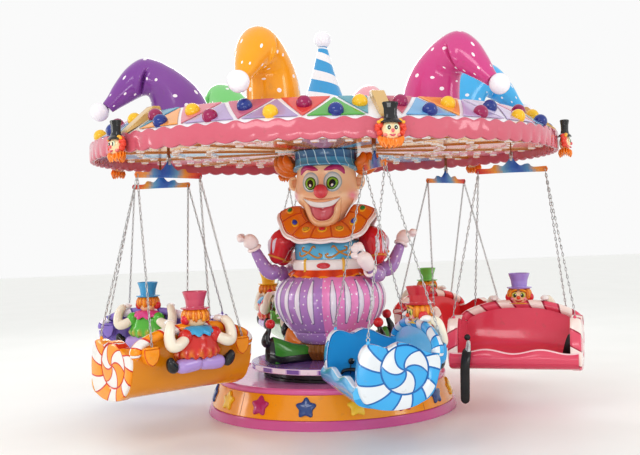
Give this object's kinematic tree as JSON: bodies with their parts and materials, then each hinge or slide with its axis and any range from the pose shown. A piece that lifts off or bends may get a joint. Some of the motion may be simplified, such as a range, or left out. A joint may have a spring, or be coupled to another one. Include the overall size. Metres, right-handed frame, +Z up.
{
  "type": "children's chair swing ride with clown figure",
  "caption": "Fairground swing ride: a turning clown figure under a round canopy that carries two-seat gondolas on chains.",
  "frame": {"origin": "centre of the base on the ground", "axes": "+Z up along the turning axis, -Y out through gondola 1; the gondolas travel clockwise seen from above"},
  "size_m": [4.0258, 4.3, 3.283],
  "materials": {
    "rose_shell": "glossy painted glass-fibre shell",
    "orange_shell": "glossy painted glass-fibre shell",
    "lilac_shell": "glossy painted glass-fibre shell",
    "black_steel": "satin black paint",
    "violet_shell": "glossy painted glass-fibre shell",
    "purple_shell": "glossy painted glass-fibre shell",
    "blue_shell": "glossy painted glass-fibre shell",
    "teal_shell": "glossy painted glass-fibre shell",
    "skin_shell": "glossy painted glass-fibre shell",
    "collar_shell": "glossy painted glass-fibre shell",
    "red_shell": "glossy painted glass-fibre shell",
    "green_shell": "glossy painted glass-fibre shell",
    "shoe_orange_shell": "glossy painted glass-fibre shell",
    "ceiling_panel": "painted radial bands with lamps",
    "fascia_shell": "glossy painted glass-fibre shell",
    "roof_panel": "glossy painted glass-fibre shell",
    "tan_shell": "glossy painted glass-fibre shell",
    "steel": "zinc plated steel",
    "gondola_1_shell": "glossy painted glass-fibre shell",
    "clown_1_shell": "glossy painted glass-fibre shell",
    "hat_1_shell": "glossy painted glass-fibre shell",
    "gondola_2_shell": "glossy painted glass-fibre shell",
    "clown_2_shell": "glossy painted glass-fibre shell",
    "hat_2_shell": "glossy painted glass-fibre shell",
    "gondola_3_shell": "glossy painted glass-fibre shell",
    "clown_3_shell": "glossy painted glass-fibre shell",
    "hat_3_shell": "glossy painted glass-fibre shell",
    "gondola_4_shell": "glossy painted glass-fibre shell",
    "clown_4_shell": "glossy painted glass-fibre shell",
    "hat_4_shell": "glossy painted glass-fibre shell",
    "gondola_5_shell": "glossy painted glass-fibre shell",
    "clown_5_shell": "glossy painted glass-fibre shell",
    "hat_5_shell": "glossy painted glass-fibre shell",
    "gondola_6_shell": "glossy painted glass-fibre shell",
    "clown_6_shell": "glossy painted glass-fibre shell",
    "hat_6_shell": "glossy painted glass-fibre shell"
  },
  "bodies": {
    "base": {"base_foot_ring": "rose_shell", "base_skirt": "orange_shell", "base_top_deck": "lilac_shell", "slewing_bearing": "black_steel"},
    "rotor": {"turntable_disc": "violet_shell", "trousers": "purple_shell", "jacket_and_belt": "blue_shell", "two_faced_head": "skin_shell", "collar": "collar_shell", "figure_hat": "teal_shell", "hair_right": "shoe_orange_shell", "hair_left": "shoe_orange_shell", "arms_right": "red_shell", "arms_left": "red_shell", "shoe_front_right": "green_shell", "shoe_front_left": "shoe_orange_shell", "shoe_back_right": "green_shell", "shoe_back_left": "shoe_orange_shell", "ceiling": "ceiling_panel", "fascia": "fascia_shell", "canopy_roof": "roof_panel", "centre_cone_hat": "blue_shell", "rim_head_1": "tan_shell", "bent_hat_1": "hat_1_shell", "rim_head_2": "tan_shell", "bent_hat_2": "hat_2_shell", "rim_head_3": "tan_shell", "bent_hat_3": "hat_3_shell", "rim_head_4": "tan_shell", "bent_hat_4": "hat_4_shell", "rim_head_5": "tan_shell", "bent_hat_5": "hat_5_shell", "rim_head_6": "tan_shell", "bent_hat_6": "hat_6_shell"},
    "clevis_1": {"link_1": "steel"},
    "gondola_unit_1": {"hanger_1": "steel", "gondola_1": "gondola_1_shell", "back_clown_1": "clown_1_shell"},
    "clevis_2": {"link_2": "steel"},
    "gondola_unit_2": {"hanger_2": "steel", "gondola_2": "gondola_2_shell", "back_clown_2": "clown_2_shell"},
    "clevis_3": {"link_3": "steel"},
    "gondola_unit_3": {"hanger_3": "steel", "gondola_3": "gondola_3_shell", "back_clown_3": "clown_3_shell"},
    "clevis_4": {"link_4": "steel"},
    "gondola_unit_4": {"hanger_4": "steel", "gondola_4": "gondola_4_shell", "back_clown_4": "clown_4_shell"},
    "clevis_5": {"link_5": "steel"},
    "gondola_unit_5": {"hanger_5": "steel", "gondola_5": "gondola_5_shell", "back_clown_5": "clown_5_shell"},
    "clevis_6": {"link_6": "steel"},
    "gondola_unit_6": {"hanger_6": "steel", "gondola_6": "gondola_6_shell", "back_clown_6": "clown_6_shell"}
  },
  "joints": [
    {"name": "main_spin", "type": "hinge", "parent": "base", "child": "rotor", "pos_m": [0, 0, 0.368], "axis": [0, 0, 1], "continuous": true},
    {"name": "sway_1", "type": "hinge", "parent": "rotor", "child": "clevis_1", "pos_m": [0, -1.612, 2.135], "axis": [0, -1, 0], "range_deg": [-6, 6]},
    {"name": "swing_1", "type": "hinge", "parent": "clevis_1", "child": "gondola_unit_1", "pos_m": [0, -1.612, 2.081], "axis": [-1, 0, 0], "range_deg": [-5, 20]},
    {"name": "sway_2", "type": "hinge", "parent": "rotor", "child": "clevis_2", "pos_m": [1.39603, -0.806, 2.135], "axis": [0.866, -0.5, 0], "range_deg": [-6, 6]},
    {"name": "swing_2", "type": "hinge", "parent": "clevis_2", "child": "gondola_unit_2", "pos_m": [1.39603, -0.806, 2.081], "axis": [-0.5, -0.866, 0], "range_deg": [-5, 20]},
    {"name": "sway_3", "type": "hinge", "parent": "rotor", "child": "clevis_3", "pos_m": [1.39603, 0.806, 2.135], "axis": [0.866, 0.5, 0], "range_deg": [-6, 6]},
    {"name": "swing_3", "type": "hinge", "parent": "clevis_3", "child": "gondola_unit_3", "pos_m": [1.39603, 0.806, 2.081], "axis": [0.5, -0.866, 0], "range_deg": [-5, 20]},
    {"name": "sway_4", "type": "hinge", "parent": "rotor", "child": "clevis_4", "pos_m": [0, 1.612, 2.135], "axis": [0, 1, 0], "range_deg": [-6, 6]},
    {"name": "swing_4", "type": "hinge", "parent": "clevis_4", "child": "gondola_unit_4", "pos_m": [0, 1.612, 2.081], "axis": [1, 0, 0], "range_deg": [-5, 20]},
    {"name": "sway_5", "type": "hinge", "parent": "rotor", "child": "clevis_5", "pos_m": [-1.39603, 0.806, 2.135], "axis": [-0.866, 0.5, 0], "range_deg": [-6, 6]},
    {"name": "swing_5", "type": "hinge", "parent": "clevis_5", "child": "gondola_unit_5", "pos_m": [-1.39603, 0.806, 2.081], "axis": [0.5, 0.866, 0], "range_deg": [-5, 20]},
    {"name": "sway_6", "type": "hinge", "parent": "rotor", "child": "clevis_6", "pos_m": [-1.39603, -0.806, 2.135], "axis": [-0.866, -0.5, 0], "range_deg": [-6, 6]},
    {"name": "swing_6", "type": "hinge", "parent": "clevis_6", "child": "gondola_unit_6", "pos_m": [-1.39603, -0.806, 2.081], "axis": [-0.5, 0.866, 0], "range_deg": [-5, 20]}
  ]
}
